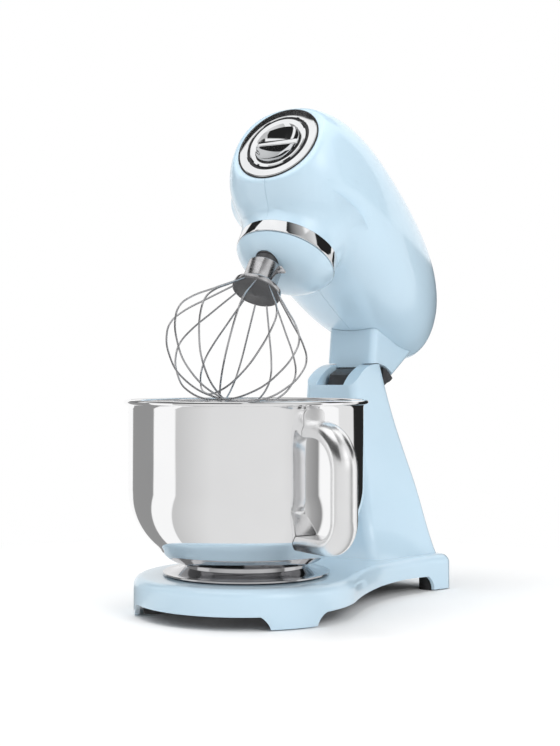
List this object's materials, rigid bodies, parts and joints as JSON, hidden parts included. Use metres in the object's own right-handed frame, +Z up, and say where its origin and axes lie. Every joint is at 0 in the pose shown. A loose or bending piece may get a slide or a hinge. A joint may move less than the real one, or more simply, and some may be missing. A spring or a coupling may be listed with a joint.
{
  "type": "stand mixer",
  "caption": "Tilt-head stand mixer with the head raised, rounded pastel body, steel bowl with a strap handle and a wire whisk.",
  "frame": {"origin": "on the table, on the bowl's vertical axis", "axes": "+Z up, -Y to the mixer's front, +X to its left side, where the handle is; symmetric about X = 0 but for the bowl's handle, the tool's place and the cord gland"},
  "size_m": [0.267, 0.4636, 0.4865],
  "materials": {
    "enamel": "glossy pastel blue paint",
    "chrome": "polished",
    "bowl_steel": "mirror polished",
    "steel": "bright",
    "gear_steel": "oiled",
    "aluminium": "as cast",
    "bronze": "plain bearing",
    "dark_plastic": "satin",
    "board": "circuit board",
    "carbon": "carbon",
    "rubber": "matt",
    "core_steel": "laminated"
  },
  "bodies": {
    "stand": {"base_casting": "enamel", "bottom_cover": "dark_plastic", "rubber_feet": "rubber", "cover_screws": "steel", "hinge_pin": "steel", "hinge_block": "dark_plastic", "bowl_lock_plate": "steel", "plate_screws": "steel", "cord_gland": "rubber"},
    "bowl_unit": {"bowl": "bowl_steel", "bowl_foot": "bowl_steel", "bowl_handle": "bowl_steel"},
    "head": {"head_shell_left": "enamel", "head_shell_right": "enamel", "neck_collar": "enamel", "hinge_bracket": "steel", "hinge_bushes": "bronze", "drive_ring": "chrome", "ring_gear": "gear_steel", "gear_case": "aluminium", "case_cover": "aluminium", "case_screws": "steel", "ball_bearings": "steel", "motor_case": "steel", "motor_bracket": "aluminium", "motor_end_cap": "aluminium", "stator_core": "core_steel", "motor_brushes": "carbon", "control_board": "board", "hub_bezel": "chrome", "hub_seal": "rubber", "hub_sleeve": "aluminium", "lever_pin": "steel", "speed_switch": "dark_plastic", "speed_bezel": "chrome"},
    "planetary": {"planetary_disc": "enamel", "centre_shaft": "gear_steel", "crown_gear": "gear_steel"},
    "tool": {"tool_shaft": "steel", "planet_gear": "gear_steel", "shaft_collar": "dark_plastic", "whisk_hub": "steel", "whisk_pin": "steel", "whisk_disc": "dark_plastic", "whisk_wires": "steel"},
    "rotor": {"rotor_shaft": "gear_steel", "rotor_core": "core_steel", "cooling_fan": "dark_plastic", "rotor_pinion": "gear_steel"},
    "hub_drive": {"hub_shaft": "gear_steel", "hub_pinion": "gear_steel"},
    "cap": {"hub_cap": "chrome"},
    "lever": {"speed_lever": "chrome"},
    "release": {"release_button": "dark_plastic"}
  },
  "joints": [
    {"name": "bowl_twist", "type": "hinge", "parent": "stand", "child": "bowl_unit", "pos_m": [0, 0, 0], "axis": [0, 0, 1], "range_deg": [0, 32]},
    {"name": "head_tilt", "type": "hinge", "parent": "stand", "child": "head", "pos_m": [0, 0.209, 0.1643], "axis": [1, 0, 0], "range_deg": [0, 33]},
    {"name": "planetary_spin", "type": "hinge", "parent": "head", "child": "planetary", "pos_m": [0, 0.06983, 0.33373], "axis": [0, 0.5446, 0.8387], "continuous": true},
    {"name": "tool_spin", "type": "hinge", "parent": "planetary", "child": "tool", "pos_m": [-0.00106, 0.04859, 0.34753], "axis": [0, 0.5446, 0.8387], "continuous": true},
    {"name": "rotor_spin", "type": "hinge", "parent": "head", "child": "rotor", "pos_m": [0, 0.20206, 0.35374], "axis": [0, 0.8387, -0.5446], "continuous": true},
    {"name": "hub_spin", "type": "hinge", "parent": "head", "child": "hub_drive", "pos_m": [0, 0.08464, 0.42999], "axis": [0, 0.8387, -0.5446], "continuous": true},
    {"name": "hub_cap_pull", "type": "slide", "parent": "head", "child": "cap", "axis": [0, -0.8387, 0.5446], "range_m": [0, 0.013]},
    {"name": "speed_lever_turn", "type": "hinge", "parent": "head", "child": "lever", "pos_m": [0, 0.28746, 0.3604], "axis": [-1, 0, 0], "range_deg": [0, 44]},
    {"name": "release_press", "type": "slide", "parent": "stand", "child": "release", "axis": [0, -1, 0], "range_m": [0, 0.003], "stiffness_N_per_m": 900}
  ],
  "couplings": [
    {"joint": "tool_spin", "follows": "planetary_spin", "ratio": -3.6},
    {"joint": "rotor_spin", "follows": "planetary_spin", "ratio": 3},
    {"joint": "hub_spin", "follows": "planetary_spin", "ratio": -3}
  ]
}
